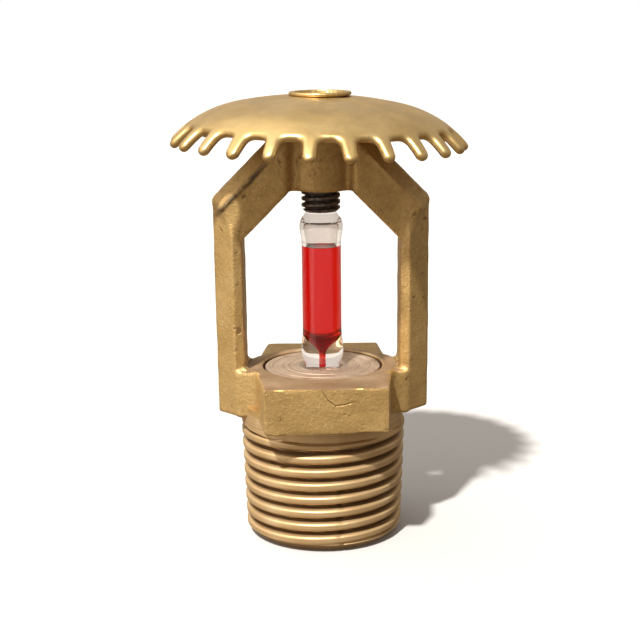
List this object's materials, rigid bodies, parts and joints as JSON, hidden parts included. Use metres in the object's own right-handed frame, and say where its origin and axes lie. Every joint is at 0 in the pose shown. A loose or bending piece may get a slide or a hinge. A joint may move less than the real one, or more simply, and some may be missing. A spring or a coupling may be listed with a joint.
{
  "type": "fire sprinkler head",
  "caption": "Upright glass-bulb fire sprinkler head: brass casting with tapered pipe thread, wrench boss and two arms, sealed valve cap, load screw and toothed dish deflector.",
  "frame": {"origin": "centre of the inlet end face, at the bottom of the pipe thread", "axes": "+Z along the waterway from the inlet to the deflector; the frame arms stand at +X and -X, the wrench flats face -Y and +Y"},
  "size_m": [0.0376, 0.0376, 0.0571],
  "materials": {
    "cast_brass": "sand-cast, bare",
    "sheet_brass": "pressed sheet, tumbled smooth",
    "bushing_brass": "turned and swaged",
    "black_steel": "black oxide",
    "bulb_glass": "clear, fire polished",
    "red_liquid": "clear red liquid",
    "cap_copper": "turned copper alloy",
    "insert_steel": "turned",
    "spring_nickel": "bright nickel alloy",
    "seal_film": "white fluoropolymer film"
  },
  "bodies": {
    "frame_body": {"frame": "cast_brass", "deflector": "sheet_brass", "deflector_bushing": "bushing_brass"},
    "valve_stack": {"valve_cap": "cap_copper", "bulb_seat_insert": "insert_steel", "disc_spring": "spring_nickel", "upper_seal_film": "seal_film", "lower_seal_film": "seal_film", "glass_bulb": "bulb_glass", "bulb_liquid": "red_liquid"},
    "load_screw": {"compression_screw": "black_steel"}
  },
  "joints": [
    {"name": "valve_lift", "type": "slide", "parent": "frame_body", "child": "valve_stack", "axis": [0, 0, 1], "range_m": [0, 0.0024]},
    {"name": "screw_turn", "type": "hinge", "parent": "valve_stack", "child": "load_screw", "pos_m": [0, 0, 0.0474], "axis": [0, 0, 1], "range_deg": [0, 1080.5]}
  ],
  "couplings": [
    {"joint": "screw_turn", "follows": "valve_lift", "rad_per_m": 7854}
  ]
}
